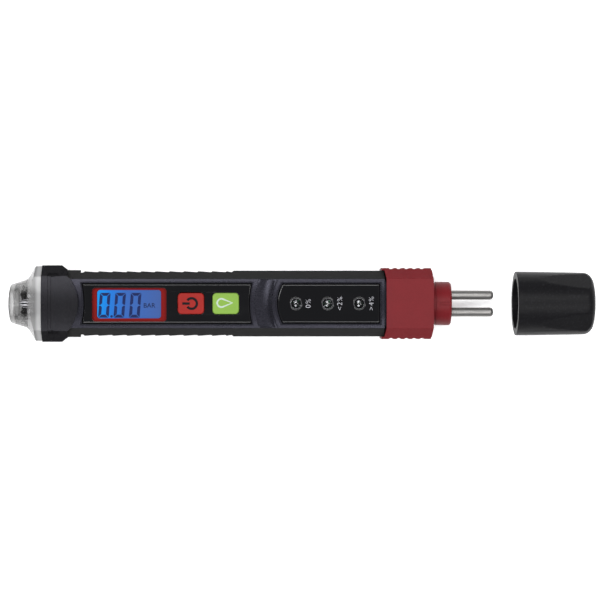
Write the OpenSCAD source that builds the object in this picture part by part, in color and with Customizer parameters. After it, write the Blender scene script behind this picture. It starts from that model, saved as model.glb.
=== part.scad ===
// Pen-type brake-fluid moisture meter with a tyre-pressure nozzle.
// The tool lies on its back along X: clear nozzle at -X, probes and loose cap at +X, display up.
// Lengths along the tool are stations, measured from the nozzle's face.

/* [Overall] */
// Height of the long axis above the surface the tool lies on
axis_z = 11; // [11:0.1:13]
// Station of the cap's closed end when the cap is pulled off
total_l = 193.6; // [193.6:0.1:200]

/* [Body] */
// Half width over the rubber grips
body_half_w = 10.85; // [10.7:0.05:11.1]
// Half height of the body
body_half_h = 10.2; // [10.1:0.05:10.3]
// Corner chamfer of the body
body_chamfer = 2.8; // [2.6:0.05:2.9]
// Thickness of the rubber grips
grip_t = 1.2; // [1:0.05:1.3]
// Wall thickness of the housing shells
wall = 1.4; // [1.2:0.05:1.5]
// Pitch of the grip's saw-tooth ridges
ridge_pitch = 4.67; // [4:0.01:5]
// Height of the grip's saw-tooth ridges
ridge_h = 0.3; // [0.2:0.01:0.5]
// How far the top faces bulge between their edges
crown = 0.4; // [0.2:0.05:0.4]

/* [Head] */
// Half width of the black shroud
shroud_half_w = 12.6; // [12.4:0.05:12.8]
// Height of the shroud's top face over the axis
shroud_top = 11.6; // [11.4:0.05:11.8]
// Radius of the arched edge where the shroud meets the body
shroud_arc_r = 14; // [13.5:0.1:15]

/* [Nozzle] */
// Radius of the mouth that takes a tyre valve
valve_bore_r = 4.3; // [4.2:0.05:4.4]
// Depth of that mouth
valve_bore_l = 2.4; // [2:0.1:2.5]
// Half width of the nozzle's flange
flange_half_w = 12.3; // [12.1:0.05:12.4]

/* [Display] */
// Half width of both black panels
panel_half_w = 6.65; // [6.5:0.05:6.7]
// Height of the panels' top face over the axis
panel_top = 9.9; // [9.8:0.05:10]
// Thickness of the panels
panel_t = 1.2; // [1.1:0.05:1.3]
// Length of the window over the display
lcd_window_l = 24.4; // [24:0.1:24.6]
// Width of the window over the display
lcd_window_w = 11.1; // [11:0.1:11.2]
// Sideways offset of the display in its window
lcd_offset = -0.4; // [-0.4:0.05:0]

/* [Buttons] */
// Length of a button's face
button_l = 8.6; // [8.4:0.1:9]
// Width of a button's face
button_w = 6.9; // [6.8:0.1:7.2]
// How far a button travels
button_travel = 0.4; // [0.3:0.05:0.4]

/* [Battery] */
// Radius of the cell
cell_r = 5.25; // [5:0.05:5.25]
// Length of the cell over its terminal
cell_l = 44.5; // [43.5:0.1:44.5]
// Length of the sliding battery door
door_l = 50.4; // [50:0.1:50.6]

/* [Probe] */
// Half width of the red collar
collar_half_w = 11.7; // [11.5:0.05:11.8]
// Radius of the neck that carries the cap
neck_r = 7.25; // [7:0.05:7.3]
// Radius of a probe pin
pin_r = 1.55; // [1.4:0.05:1.6]
// Distance between the probe pins' axes
pin_pitch = 5.66; // [5.4:0.02:6]

/* [Cap] */
// Outer radius of the cap at its mouth
cap_r = 10.65; // [10.5:0.05:10.8]
// Inner radius of the cap
cap_bore_r = 8.3; // [8.1:0.05:8.35]
// Number of flutes round the cap
cap_flutes = 4; // [3:1:5]

/* [Hidden] */

$fn = 64;
eps = 0.01;
gap = 0.05;             // air left between rigid pieces that touch
arc_steps = 12;         // straight pieces in an arched outline
crown_steps = 8;        // flat pieces in a bulging top face

// Stations along the tool
shroud_s = 11.55;       // shroud's front edge
shoulder_s = 18.1;      // where the shroud starts to narrow
body_s = 19.2;          // front of the grips
shroud_tip_s = 23.7;    // furthest point of the shroud's arched edge
ridge_s = 25.4;         // first saw-tooth ridge
ridge_end_s = 74.3;     // last saw-tooth ridge
window_s = 25.4;        // display panel, front edge at mid width
window_end_s = 79.8;    // display panel, rear edge at mid width
lcd_s = 40.3;           // middle of the display
power_s = 60.55;        // power button
fluid_s = 71.95;        // fluid-test button
scoop_s = 81.35;        // finger scoop, front edge at mid width
scoop_end_s = 87.05;    // finger scoop, rear edge at mid width
led_panel_s = 88.8;     // LED panel, front edge at mid width
led_panel_end_s = 122.5;
led_s = 95;             // first LED
led_pitch = 10.35;
housing_end_s = 124;    // rear of the housing's full section and of the grips
collar_s = 123.1;       // front edge of the collar's side lips
collar_top_s = 124.65;  // collar's front edge on its top and bottom faces
collar_end_s = 140.1;
neck_end_s = 146.4;
pin_tip_s = 160.6;
cap_s = 168;            // cap's mouth when pulled off
lamp_s = 6.3;           // nozzle lamps
oring_s = 9.5;
lamp_board_s = 12.7;    // nozzle lamps' circuit board
nose_s = 14;            // front of the housing, inside the shroud
spigot_end_s = 136.7;   // rear of the housing, inside the collar
screw_stations = [24.6, 120.6];
pcb_s = 26.8;
pcb_end_s = 118.2;
door_s = 38;
cell_s = 41.6;
minus_s = 38.3;         // contact plate at the cell's flat end
plus_s = 86.2;          // contact plate at the cell's button end
sensor_s = 28.6;
sensor_end_s = 36.2;
air_tube_s = 18.6;
pin_s = 133.5;          // probe pin's inner end

// Nozzle's inner pieces
block_r = 5.4;
block_bore_r = 5.45;
seal_s = 3.05;
seal_groove_r = 6.2;    // groove in the nozzle that holds the seal's flange
lamp_r = 0.9;
lamp_y = 2.6;
lamp_leg_y = 0.45;
air_stem_r = 1.9;       // stem of the air block that goes into the housing
nipple_r = 1.3;         // spigots the air tube goes over

// Display parts
lcd_frame_l = 25.2;
lcd_frame_w = 11.8;
lcd_frame_t = 0.8;
lcd_open_l = 21;
lcd_open_w = 9.3;
lcd_open_shift = 0.2;   // opening's offset in the frame, both ways
lcd_glass_l = 23.3;
lcd_glass_w = 10.8;

// Warning lamps
led_r = 1.5;
led_flange_r = 1.9;
led_hole_r = 1.75;
led_leg = 1.27;         // half the distance between its legs

// Keys and switches
key_gap = 0.15;         // air round a key in its panel
key_flange = 0.7;       // width of the flange that holds it under the panel
switch_half = 3;
stem_r = 1.7;

// Screws
screw_y = 6;
screw_r = 0.73;
screw_head_r = 1.6;
boss_r = 1.9;

// Battery bay and door
cell_z = -3.3;
contact_t = 0.4;
contact_half_w = 4.5;
door_travel = 7;
door_t = 1;
door_half_w = 6.5;
tongue_half_w = 7.1;
tongue_l = 5;
tongue_stations = [door_s + 4, door_s + 22.7, door_s + door_l - 9];
groove_half_w = tongue_half_w + 0.15;

// Heights over the axis
flat_half = body_half_w - body_chamfer;         // half width of the body's top and bottom
grip_step = grip_t * sqrt(2);                   // height of the seat that takes a grip's edge
shroud_chamfer = 3.55;
shroud_crown = crown * 1.5;                     // bulge of the shroud's wider top
body_edge_z = body_half_h - crown;              // edges of the body's top face
thumb_step = 0.3;                               // depth of each step of the thumb recess
frame_step = 0.55;                              // width of the low step round the panels
frame_step_z = panel_top - 0.12;
ledge_z = panel_top - panel_t;                  // ledge the panels lie on
cavity_half_w = body_half_w - grip_t - wall;
cavity_top = 7.3;
cavity_bottom = -8.7;
pcb_top = 3.6;
pcb_t = 1;
pcb_bottom = pcb_top - pcb_t;
switch_top = 6.7;
glass_top = 7.65;
led_dome_z = 8.2;
button_top = 10.5;
button_bottom = 7.2;
bay_floor_z = -8;
door_out_z = -body_half_h + gap;

// ---------- helpers ----------

// Puts station s on the origin-centred frame, at the height of the axis
module placed() {
    translate([-total_l / 2, 0, axis_z]) children();
}

// Extrudes a cross-section (first axis across, second axis up) between two stations
module along(s0, s1) {
    translate([s0, 0, 0]) rotate([90, 0, 90]) linear_extrude(s1 - s0) children();
}

// Extrudes a plan outline (stations, across) between two heights
module up(z0, z1) {
    translate([0, 0, z0]) linear_extrude(z1 - z0) children();
}

// Cylinder on the long axis, or beside it
module rod(s0, s1, r, y = 0, z = 0, r_end = -1) {
    translate([s0, y, z]) rotate([0, 90, 0])
        cylinder(h = s1 - s0, r1 = r, r2 = r_end < 0 ? r : r_end);
}

module post(s, y, z0, z1, r) {
    translate([s, y, z0]) cylinder(h = z1 - z0, r = r);
}

module box(s0, s1, y0, y1, z0, z1) {
    translate([s0, y0, z0]) cube([s1 - s0, y1 - y0, z1 - z0]);
}

// Points of a top face that bulges by rise, from its +half_w edge to its -half_w edge
function crowned(half_w, top, rise, steps = crown_steps) = [
    for (i = [0:steps])
        let (y = half_w * (1 - 2 * i / steps))
        [y, top - rise * y * y / (half_w * half_w)]
];

// Chamfered rectangle with a bulging top, the tool's cross-section
module section(half_w, top, bottom, chamfer, rise = 0) {
    polygon(concat(
        [[half_w, top - chamfer]],
        crowned(half_w - chamfer, top, rise, rise > 0 ? crown_steps : 1),
        [[-half_w, top - chamfer], [-half_w, bottom + chamfer], [chamfer - half_w, bottom],
            [half_w - chamfer, bottom], [half_w, bottom + chamfer]]
    ));
}

// Housing's cross-section, stepped in at its sides to take the grips
module housing_section() {
    side = body_half_w - grip_t;
    slant = side - flat_half;
    step = body_half_h - grip_step;
    top_step = body_edge_z - grip_step;
    polygon(concat(
        [[side, top_step - slant], [flat_half, top_step]],
        crowned(flat_half, body_half_h, crown),
        [[-flat_half, top_step], [-side, top_step - slant], [-side, slant - step],
            [-flat_half, -step], [-flat_half, -body_half_h], [flat_half, -body_half_h],
            [flat_half, -step], [side, slant - step]]
    ));
}

// Points of an arc through (s at +-half_w) that bulges by rise towards +s at mid width
function arc(s, rise, half_w, steps = arc_steps) = [
    for (i = [0:steps])
        let (y = half_w * (2 * i / steps - 1))
        [s + rise * (1 - y * y / (half_w * half_w)), y]
];

function reversed(list) = [for (i = [len(list) - 1:-1:0]) list[i]];

// Plain rectangle with cut corners, exact as a solid
module cut_corner_2d(l, w, c) {
    polygon([
        [l / 2, w / 2 - c], [l / 2 - c, w / 2], [c - l / 2, w / 2], [-l / 2, w / 2 - c],
        [-l / 2, c - w / 2], [c - l / 2, -w / 2], [l / 2 - c, -w / 2], [l / 2, c - w / 2]
    ]);
}

// Outline of the display panel, arched at both ends
module window_outline(grow = 0) {
    half = panel_half_w + grow;
    polygon(concat(
        reversed(arc(window_s - 0.75 - grow, 0.75, half)),
        reversed([for (p = arc(0, -0.8, half)) [p[0] + window_end_s + 0.8 + grow, -p[1]]])
    ));
}

// Outline of the LED panel, arched at its front end and square at its rear
module led_outline(grow = 0) {
    half = panel_half_w - 0.1 + grow;
    polygon(concat(
        reversed(arc(led_panel_s + 1.75 - grow, -1.75, half)),
        [[led_panel_end_s + grow, -half], [led_panel_end_s + grow, half]]
    ));
}

// Crescent that the finger scoop stays in, between the two panels
module scoop_outline() {
    half = flat_half - 0.1;
    polygon(concat(
        reversed(arc(scoop_s + 1.45, -1.45, half)),
        arc(scoop_end_s + 2.5, -1.85, half)
    ));
}

// Thin line between the finger scoop and the LED panel's frame
module scoop_seam() {
    half = flat_half - 0.1;
    front = arc(scoop_end_s + 1.9, -2.1, half);
    polygon(concat(front, reversed([for (p = front) [p[0] + 0.3, p[1]]])));
}

// Ring-shaped trough, bent to the arc of the LED panel's end
module scoop_trough() {
    r = 7.6;
    depth = 1.2;
    end_r = 16;
    reach = sqrt(r * r - (r - depth) * (r - depth));
    translate([scoop_end_s + end_r, 0, body_half_h + r - depth])
        rotate_extrude() translate([end_r + reach, 0]) circle(r);
}

// ---------- housing ----------

module housing_solid() {
    along(body_s + gap, housing_end_s) housing_section();
    along(nose_s, body_s + 1) section(9.5, 9.2, -9.2, 2.4);
    along(housing_end_s - 1, spigot_end_s) section(9.7, 9, -9, 2.5);
}

module housing_cavity() {
    along(nose_s + 1.6, spigot_end_s + 1) section(cavity_half_w, cavity_top, cavity_bottom, 2);
}

module front_housing() {
    color("dimgray") placed() difference() {
        union() {
            difference() {
                intersection() {
                    housing_solid();
                    box(0, total_l, -20, 20, 0, 20);
                }
                housing_cavity();
            }
            for (s = screw_stations, side = [-1, 1])
                post(s, side * screw_y, 0, cavity_top + 0.5, boss_r);
        }
        up(ledge_z, 20) window_outline(0.12);
        up(frame_step_z, 20) window_outline(frame_step);
        up(ledge_z, 20) led_outline(0.12);
        up(frame_step_z, 20) led_outline(frame_step);
        intersection() {
            up(cavity_top, 20) scoop_outline();
            scoop_trough();
        }
        up(body_edge_z - 0.2, 20) scoop_seam();
        translate([lcd_s, lcd_offset, cavity_top - 1]) linear_extrude(2.5)
            cut_corner_2d(lcd_frame_l + 0.4, lcd_frame_w + 0.4, 0.6);
        for (s = [power_s, fluid_s])
            translate([s, 0, 0]) up(cavity_top - 1, ledge_z + eps)
                square([button_l, button_w] + 2 * [key_flange + 0.25, key_flange + 0.25], center = true);
        for (i = [0:2])
            post(led_s + i * led_pitch, 0, cavity_top - 1, ledge_z + eps, led_flange_r + 0.2);
        rod(nose_s - 1, nose_s + 2, air_stem_r + 0.1);
        for (s = screw_stations, side = [-1, 1])
            post(s, side * screw_y, -1, 6, screw_r + 0.02);
    }
}

// Recess the door slides in, its grooves, and the slots its tongues drop in through
module door_rail_cut() {
    start = door_s - 0.15;
    end = door_s + door_l + door_travel + 0.4;
    top = door_out_z + door_t + gap;
    half = door_half_w + 0.15;
    box(start, end, -half, half, -body_half_h - 1, top);
    box(start, end, -groove_half_w, groove_half_w, top - 0.6, top);
    for (s = tongue_stations)
        box(s + door_travel - 0.2, s + door_travel + tongue_l + 0.2,
            -groove_half_w, groove_half_w, -body_half_h - 1, top - eps);
}

module rear_housing() {
    inner = cavity_half_w + 0.2;
    color("dimgray") placed() difference() {
        union() {
            difference() {
                intersection() {
                    housing_solid();
                    box(0, total_l, -20, 20, -20, -0.02);
                }
                housing_cavity();
            }
            box(door_s - 1.5, door_s + door_l + door_travel + 2, -7.6, 7.6,
                cavity_bottom - 0.2, bay_floor_z);
            for (s = [minus_s - 1.3, plus_s + 0.55, 47, 63, 79])
                box(s, s + 1.2, -inner, inner, bay_floor_z + 1, -0.02);
            for (s = screw_stations, side = [-1, 1])
                post(s, side * screw_y, cavity_bottom - 0.5, -0.02, boss_r + 0.2);
        }
        rod(minus_s + 0.6, plus_s + 0.5, cell_r + 0.15, 0, cell_z);
        box(minus_s + 1.3, plus_s - 0.6, -cell_r - 0.2, cell_r + 0.2, -12, -5);
        door_rail_cut();
        rod(nose_s - 1, nose_s + 2, air_stem_r + 0.1);
        for (s = screw_stations, side = [-1, 1]) {
            post(s, side * screw_y, -12, 1, screw_r + 0.3);
            post(s, side * screw_y, -12, -body_half_h + 1.6, screw_head_r + 0.2);
        }
    }
}

// ---------- grips ----------

// Plan outline of the left grip, with its block, notch and saw-tooth ridges
module grip_plan() {
    block = body_half_w + 0.2;
    tooth = body_half_w - 0.2;
    count = floor((ridge_end_s - ridge_s) / ridge_pitch);
    polygon(concat(
        [[body_s + gap, 5], [body_s + gap, block], [24, block], [24.6, tooth - 0.45],
            [24.9, tooth - 0.45]],
        [for (i = [0:count]) for (p = [
            [ridge_s + i * ridge_pitch, tooth],
            [min(ridge_s + (i + 0.92) * ridge_pitch, ridge_end_s - 0.4), tooth - ridge_h]
        ]) p],
        [[ridge_end_s, body_half_w], [housing_end_s, body_half_w], [housing_end_s, 5]]
    ));
}

module grip() {
    inner = body_half_w - grip_t + 0.02;
    outer = body_half_w + 0.2;
    start = flat_half + 0.02;
    slant = inner - flat_half;
    top = body_edge_z - 0.02;
    bottom = 0.02 - body_half_h;
    intersection() {
        along(body_s, housing_end_s) polygon([
            [start, top], [outer, top - (outer - start)], [outer, bottom + (outer - start)],
            [start, bottom], [start, bottom + grip_step], [inner, bottom + grip_step + slant],
            [inner, top - grip_step - slant], [start, top - grip_step]
        ]);
        up(-12, 12) grip_plan();
        notch_rake();
    }
}

// Slopes the rear end of the grip's front block inwards on its way down
module notch_rake() {
    difference() {
        box(body_s - 1, housing_end_s + 1, 0, 20, -20, 20);
        intersection() {
            box(body_s, 24.8, body_half_w - 0.65, 20, -20, 20);
            translate([24, 0, 6]) rotate([0, 8, 0]) translate([0, -1, -40]) cube([10, 30, 80]);
        }
    }
}

module left_grip() {
    color("#262626") placed() grip();
}

module right_grip() {
    color("#262626") placed() mirror([0, 1, 0]) grip();
}

// ---------- head ----------

module shroud_plan() {
    half = 8.05;
    rise = shroud_arc_r - sqrt(shroud_arc_r * shroud_arc_r - half * half);
    tip = arc(shroud_tip_s - rise, rise, half);
    polygon(concat(
        [[shroud_s, -shroud_half_w], [shoulder_s, -shroud_half_w], [body_s + 0.8, -11.15],
            [body_s + 0.9, -9]],
        tip,
        [[body_s + 0.9, 9], [body_s + 0.8, 11.15], [shoulder_s, shroud_half_w],
            [shroud_s, shroud_half_w]]
    ));
}

// Plan of the thumb recess, arched like the shroud's edge
module thumb_outline(inset) {
    half = 9.9 - inset;
    rise = 4.6;
    curve = arc(21.5 - inset * 1.1 - rise, rise, half);
    polygon(concat([[13.7 + inset, -half]], curve, [[13.7 + inset, half]]));
}

// Removes a layer of this depth from the shroud's top and chamfers
module thumb_recess(depth, inset) {
    intersection() {
        up(0, 20) thumb_outline(inset);
        difference() {
            along(shroud_s, 25) square([40, 40], center = true);
            along(shroud_s - 1, 26) section(shroud_half_w - depth, shroud_top - depth,
                -axis_z, shroud_chamfer - depth * (2 - sqrt(2)), shroud_crown);
        }
    }
}

// Slopes the shroud's shoulders inwards on their way down, outside the body's width
module shoulder_rake() {
    edge = body_half_w + 0.25;
    slant = atan2(body_s + 0.8 - shoulder_s, shroud_half_w - 11.15);
    for (side = [0, 1]) mirror([0, side, 0]) intersection() {
        box(shroud_s, 25, edge, 20, -20, 20);
        translate([shoulder_s, shroud_half_w, shroud_top - shroud_chamfer])
            rotate([0, 0, slant]) rotate([0, 6, 0]) translate([0, -20, -40]) cube([20, 40, 80]);
    }
}

module head_shroud() {
    color("#2b2b2d") placed() difference() {
        intersection() {
            along(shroud_s, 25)
                section(shroud_half_w, shroud_top, -axis_z, shroud_chamfer, shroud_crown);
            up(-20, 20) shroud_plan();
        }
        thumb_recess(thumb_step, 0);
        thumb_recess(thumb_step * 2, 0.9);
        shoulder_rake();
        along(shroud_s - 1, body_s) section(10.3, 9.9, -9.9, 2.6);
        along(body_s - eps, 26)
            section(body_half_w + 0.3, body_half_h + gap, -body_half_h - gap, body_chamfer);
    }
}

module nozzle() {
    bore = valve_bore_r;
    color("gainsboro", 0.5) placed() difference() {
        union() {
            intersection() {
                rotate([0, 90, 0]) rotate_extrude() polygon([
                    [0, 0], [5.9, 0], [6.3, 0.15], [6.55, 0.5], [6.7, 1], [7.9, 5],
                    [8.25, 5.6], [9.1, 6.4], [11.9, 8.1], [15.5, 9.9],
                    [15.5, shroud_s - gap], [0, shroud_s - gap]
                ]);
                along(0, shroud_s) section(flange_half_w, 11.35, -10.9, 3.45, shroud_crown);
            }
            along(shroud_s - 1, lamp_board_s - 0.2) section(10, 9.6, -9.6, 2.5);
        }
        rod(-1, valve_bore_l, bore);
        rod(-1, seal_s + 0.5, bore - 0.3);
        rod(seal_s - gap, lamp_board_s + 1, block_bore_r);
        rod(seal_s + 0.5, seal_s + 1.3, seal_groove_r);
    }
}

module valve_seal() {
    color("#1d1d1d") placed() difference() {
        union() {
            rod(seal_s, seal_s + 0.35, block_r - 0.9);
            rod(seal_s, seal_s + 0.7, 3.6);
            rod(seal_s + 0.55, seal_s + 1.25, seal_groove_r - gap);
            rod(seal_s + 1, seal_s + 1.55, block_r);
        }
        rod(seal_s - 1, seal_s + 2, 2.6);
    }
}

module depressor_pin() {
    color("silver") placed() {
        rod(2.5, 4.6, 0.3, r_end = 1.36);
        rod(4.6 - eps, 6.6, 1.36);
        rod(6.6 - eps, 11, 1);
    }
}

module air_block() {
    color("whitesmoke") placed() difference() {
        union() {
            rod(seal_s + 1.6, lamp_board_s - 0.3, block_r);
            rod(lamp_board_s - 0.7, air_tube_s - 0.2, air_stem_r);
            rod(air_tube_s - 0.6, air_tube_s + 2.9, nipple_r);
        }
        rod(seal_s, lamp_s + 0.3, 4.4);
        box(seal_s, lamp_s + 0.3, -4.9, 4.9, -block_r - 1, block_r + 1);
        rod(6, 11.2, 1.02);
        rod(11, air_tube_s + 4, 0.7);
        rod(6, 12, 0.5, 0, -1.1);
        difference() {
            rod(oring_s - 0.5, oring_s + 0.5, block_r + 1);
            rod(oring_s - 1, oring_s + 1, block_r - 0.8);
        }
        for (side = [-1, 1])
            rod(6, lamp_board_s + 1, lamp_r + gap, side * lamp_y);
    }
}

module nozzle_oring() {
    wire_r = 0.38;
    color("#1d1d1d") placed() translate([oring_s, 0, 0]) rotate([0, 90, 0])
        rotate_extrude() translate([block_bore_r - 0.04 - wire_r, 0]) circle(wire_r, $fn = 24);
}

module nozzle_leds() {
    color("white") placed() for (side = [-1, 1]) {
        rod(lamp_s, lamp_s + 3.3, lamp_r, side * lamp_y);
        translate([lamp_s, side * lamp_y, 0]) sphere(lamp_r, $fn = 32);
        for (leg = [-lamp_leg_y, lamp_leg_y])
            rod(lamp_s + 3.2, lamp_board_s + 0.9, 0.2, side * lamp_y, leg);
    }
}

module nozzle_led_board() {
    color("darkgreen") placed() difference() {
        rod(lamp_board_s, lamp_board_s + 0.8, 7.5);
        rod(lamp_board_s - 1, lamp_board_s + 2, air_stem_r + 0.1);
        for (side = [-1, 1], leg = [-lamp_leg_y, lamp_leg_y])
            rod(lamp_board_s - 1, lamp_board_s + 2, 0.25, side * lamp_y, leg);
    }
}

// ---------- pressure sensing ----------

module air_tube() {
    color("lightgray") placed() difference() {
        rod(air_tube_s, sensor_s - 0.2, 2.2);
        rod(air_tube_s - 1, sensor_s + 1, nipple_r + gap);
    }
}

module pressure_sensor() {
    color("#e8e4da") placed() difference() {
        union() {
            box(sensor_s, sensor_end_s, -3.75, 3.75, -2.6, pcb_bottom - gap);
            rod(sensor_s - 4.1, sensor_s + 0.4, nipple_r);
        }
        rod(sensor_s - 5, sensor_end_s - 3, 0.6);
    }
}

// ---------- electronics ----------

module main_pcb() {
    color("darkgreen") placed() difference() {
        box(pcb_s, pcb_end_s, -7.25, 7.25, pcb_bottom, pcb_top);
        for (i = [0:2], leg = [-led_leg, led_leg])
            post(led_s + i * led_pitch + leg, 0, 2, 4, 0.4);
    }
}

module processor() {
    color("#1a1a1c") placed() {
        box(79, 86, -3.5, 3.5, pcb_top + 0.15, pcb_top + 1.6);
        for (side = [-1, 1], i = [0:6])
            box(80 + i * 0.8, 80.35 + i * 0.8, side > 0 ? 3.4 : -4.6, side > 0 ? 4.6 : -3.4,
                pcb_top + gap, pcb_top + 0.4);
    }
}

module small_components() {
    color("#b9a06a") placed() {
        for (i = [0:5]) {
            box(99 + i * 1.9, 100 + i * 1.9, 4, 6, pcb_top + gap, pcb_top + 0.7);
            box(99 + i * 1.9, 100 + i * 1.9, -6, -4, pcb_top + gap, pcb_top + 0.7);
        }
        for (s = [54.5, 66.2])
            box(s - 0.8, s + 0.8, 4.6, 6.6, pcb_top + gap, pcb_top + 0.9);
        box(88.5, 92, 3, 6.2, pcb_top + gap, pcb_top + 1.8);
        post(90.2, -4.4, pcb_top + gap, pcb_top + 2.6, 2);
    }
}

module lcd_frame() {
    color("firebrick") placed() translate([lcd_s, lcd_offset, 0]) difference() {
        up(pcb_top + gap, ledge_z - 0.08) cut_corner_2d(lcd_frame_l, lcd_frame_w, 0.5);
        up(pcb_top, glass_top + gap)
            square([lcd_frame_l - 2 * lcd_frame_t, lcd_frame_w - lcd_frame_t], center = true);
        translate([-lcd_open_shift, lcd_open_shift, 0])
            up(glass_top - 0.6, 9) cut_corner_2d(lcd_open_l, lcd_open_w, 0.5);
    }
}

module lcd_glass() {
    color("royalblue") placed() translate([lcd_s, lcd_offset, 0])
        up(glass_top - 1.9, glass_top) square([lcd_glass_l, lcd_glass_w], center = true);
}

module lcd_backlight() {
    color("aliceblue") placed() translate([lcd_s, lcd_offset - 0.8, 0])
        up(pcb_top + 0.1, glass_top - 1.95)
            square([lcd_glass_l - 0.1, lcd_glass_w - 1.9], center = true);
}

module lcd_connector_strip() {
    color("#3b3b3b") placed() translate([lcd_s, lcd_offset + 4.65, 0])
        up(pcb_top + gap, glass_top - 1.95) square([lcd_glass_l - 0.7, 1.5], center = true);
}

module display_panel() {
    color("#101012") placed() difference() {
        up(ledge_z + 0.02, panel_top) window_outline();
        translate([lcd_s, lcd_offset, 0]) up(ledge_z - 1, 11)
            cut_corner_2d(lcd_window_l, lcd_window_w, 0.7);
        for (s = [power_s, fluid_s])
            translate([s, 0, 0]) up(ledge_z - 1, 11)
                cut_corner_2d(button_l + 2 * key_gap, button_w + 2 * key_gap, 0.7);
    }
}

module lcd_lens() {
    color("white", 0.3) placed() translate([lcd_s, lcd_offset, 0])
        up(ledge_z + 0.02, panel_top - 0.05)
            cut_corner_2d(lcd_window_l - 0.06, lcd_window_w - 0.06, 0.7);
}

module led_panel() {
    color("#101012") placed() difference() {
        up(ledge_z + 0.02, panel_top) led_outline();
        for (i = [0:2]) {
            post(led_s + i * led_pitch, 0, ledge_z - 1, 11, led_hole_r);
            translate([led_s + i * led_pitch, 0, panel_top - 0.4])
                cylinder(h = 0.5, r1 = led_hole_r, r2 = led_hole_r + 0.4);
        }
    }
}

module led(index, shade) {
    s = led_s + index * led_pitch;
    color(shade, 0.6) placed() {
        post(s, 0, pcb_top + 1, pcb_top + 1.9, led_flange_r);
        post(s, 0, pcb_top + 1.8, led_dome_z, led_r);
        translate([s, 0, led_dome_z]) sphere(led_r, $fn = 48);
        for (leg = [-led_leg, led_leg])
            post(s + leg, 0, pcb_bottom - 0.4, pcb_top + 1.1, 0.25);
    }
}

module led_dry() { led(0, "honeydew"); }

module led_damp() { led(1, "lightyellow"); }

module led_wet() { led(2, "mistyrose"); }

module switch_body(s) {
    color("#202022") placed() difference() {
        box(s - switch_half, s + switch_half, -switch_half, switch_half, pcb_top + gap, switch_top);
        post(s, 0, 5.4, switch_top + 1, stem_r + 0.1);
    }
}

module switch_stem(s) {
    color("#d8d8d8") placed() post(s, 0, 6.1, button_bottom - 0.02, stem_r);
}

module power_switch() { switch_body(power_s); }

module fluid_switch() { switch_body(fluid_s); }

module power_switch_stem() { switch_stem(power_s); }

module fluid_switch_stem() { switch_stem(fluid_s); }

// Key with a hidden flange that keeps it under the panel
module button(s) {
    placed() translate([s, 0, 0]) {
        up(8, button_top) cut_corner_2d(button_l, button_w, 0.7);
        up(8, ledge_z - gap)
            cut_corner_2d(button_l + 2 * key_flange, button_w + 2 * key_flange, 0.5);
        up(button_bottom, 8.1) square([5, 4], center = true);
    }
}

module power_button() { color("#b5302c") button(power_s); }

module fluid_button() { color("#94c05a") button(fluid_s); }

// ---------- battery ----------

module battery_cell() {
    color("#3d6e8c") placed() {
        rod(cell_s, cell_s + cell_l - 0.9, cell_r, 0, cell_z);
        rod(cell_s + cell_l - 1, cell_s + cell_l, 1.9, 0, cell_z);
    }
}

// Centre line of the cell's coil spring, wide at the plate and narrow at the cell
spring_turns = 3;
spring_rings = 60;
spring_sides = 8;
spring_wire_r = 0.3;
spring_s = minus_s + contact_t + spring_wire_r + gap;
spring_end_s = cell_s - spring_wire_r - 0.02;

function spring_radius(t) = 3.4 - 1.4 * t;

function spring_point(i) =
    let (t = i / spring_rings, a = 360 * spring_turns * t)
    [spring_s + (spring_end_s - spring_s) * t,
        spring_radius(t) * cos(a), spring_radius(t) * sin(a) + cell_z];

function spring_ring(i) =
    let (a = 360 * spring_turns * i / spring_rings, out = [0, cos(a), sin(a)])
    [for (k = [0:spring_sides - 1])
        let (b = 360 * k / spring_sides)
        spring_point(i) + spring_wire_r * (cos(b) * out + sin(b) * [1, 0, 0])];

module battery_spring() {
    points = [for (i = [0:spring_rings]) for (p = spring_ring(i)) p];
    last = spring_rings * spring_sides;
    faces = concat(
        [[for (k = [0:spring_sides - 1]) k]],
        [for (i = [0:spring_rings - 1], k = [0:spring_sides - 1])
            let (n = (k + 1) % spring_sides, a = i * spring_sides, b = a + spring_sides)
            [a + k, b + k, b + n, a + n]],
        [[for (k = [spring_sides - 1:-1:0]) last + k]]
    );
    color("silver") placed() polyhedron(points, faces, convexity = 6);
}

module contact_plate(s) {
    placed() box(s, s + contact_t, -contact_half_w, contact_half_w,
        bay_floor_z + 0.1, pcb_bottom - gap);
}

module battery_minus_plate() {
    color("silver") contact_plate(minus_s);
}

module battery_plus_plate() {
    color("silver") contact_plate(plus_s);
}

module battery_door() {
    color("dimgray") placed() {
        box(door_s, door_s + door_l, -door_half_w, door_half_w, door_out_z, door_out_z + door_t);
        for (s = tongue_stations)
            box(s, s + tongue_l, -tongue_half_w, tongue_half_w,
                door_out_z + door_t - 0.45, door_out_z + door_t);
        for (i = [0:4])
            box(door_s + 3 + i * 1.6, door_s + 3.8 + i * 1.6, -4, 4, door_out_z - 0.3,
                door_out_z + 0.1);
    }
}

// ---------- probe end ----------

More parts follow.
